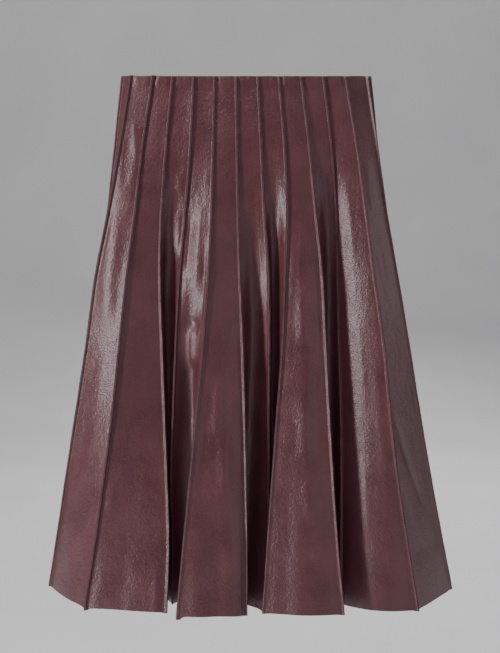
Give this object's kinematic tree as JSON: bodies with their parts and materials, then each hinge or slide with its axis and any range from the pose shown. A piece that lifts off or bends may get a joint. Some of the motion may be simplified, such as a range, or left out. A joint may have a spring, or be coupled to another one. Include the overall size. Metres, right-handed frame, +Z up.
{
  "type": "leather skirt with a hollow, worn shape held at its waist",
  "caption": "Flared midi skirt of leather gores joined by raised, pinched seams, shaped as worn, with a hidden zip at the back of its open waist.",
  "frame": {"origin": "middle of the waist opening, level with the skirt's top edge; the skirt hangs down from it", "axes": "+Z up, the front faces -Y, +X is the wearer's left"},
  "size_m": [0.5461, 0.3293, 0.6898],
  "materials": {
    "skirt_leather": "semi-gloss, finely grained",
    "zip_tape": "matt woven",
    "zip_metal": "dark nickel, polished"
  },
  "bodies": {
    "skirt": {"front_gore_01": "skirt_leather", "front_gore_02": "skirt_leather", "front_gore_03": "skirt_leather", "front_gore_04": "skirt_leather", "front_gore_05": "skirt_leather", "front_gore_06": "skirt_leather", "front_gore_07": "skirt_leather", "front_gore_08": "skirt_leather", "front_gore_09": "skirt_leather", "front_gore_10": "skirt_leather", "front_gore_11": "skirt_leather", "left_gore_01": "skirt_leather", "left_gore_02": "skirt_leather", "back_gore_01": "skirt_leather", "back_gore_02": "skirt_leather", "back_gore_03": "skirt_leather", "back_gore_04": "skirt_leather", "back_gore_05": "skirt_leather", "back_gore_06": "skirt_leather", "back_gore_07": "skirt_leather", "back_gore_08": "skirt_leather", "back_gore_09": "skirt_leather", "back_gore_10": "skirt_leather", "back_gore_11": "skirt_leather", "right_gore_01": "skirt_leather", "right_gore_02": "skirt_leather", "zip_tape_left": "zip_tape", "zip_tape_right": "zip_tape", "zip_slider": "zip_metal"},
    "zip_pull": {"zip_pull": "zip_metal"}
  },
  "joints": [
    {"name": "pull_flip", "type": "hinge", "parent": "skirt", "child": "zip_pull", "pos_m": [0.01269, 0.05257, -0.01174], "axis": [0.9998, -0.0028, 0.0179], "range_deg": [0, 150]}
  ]
}
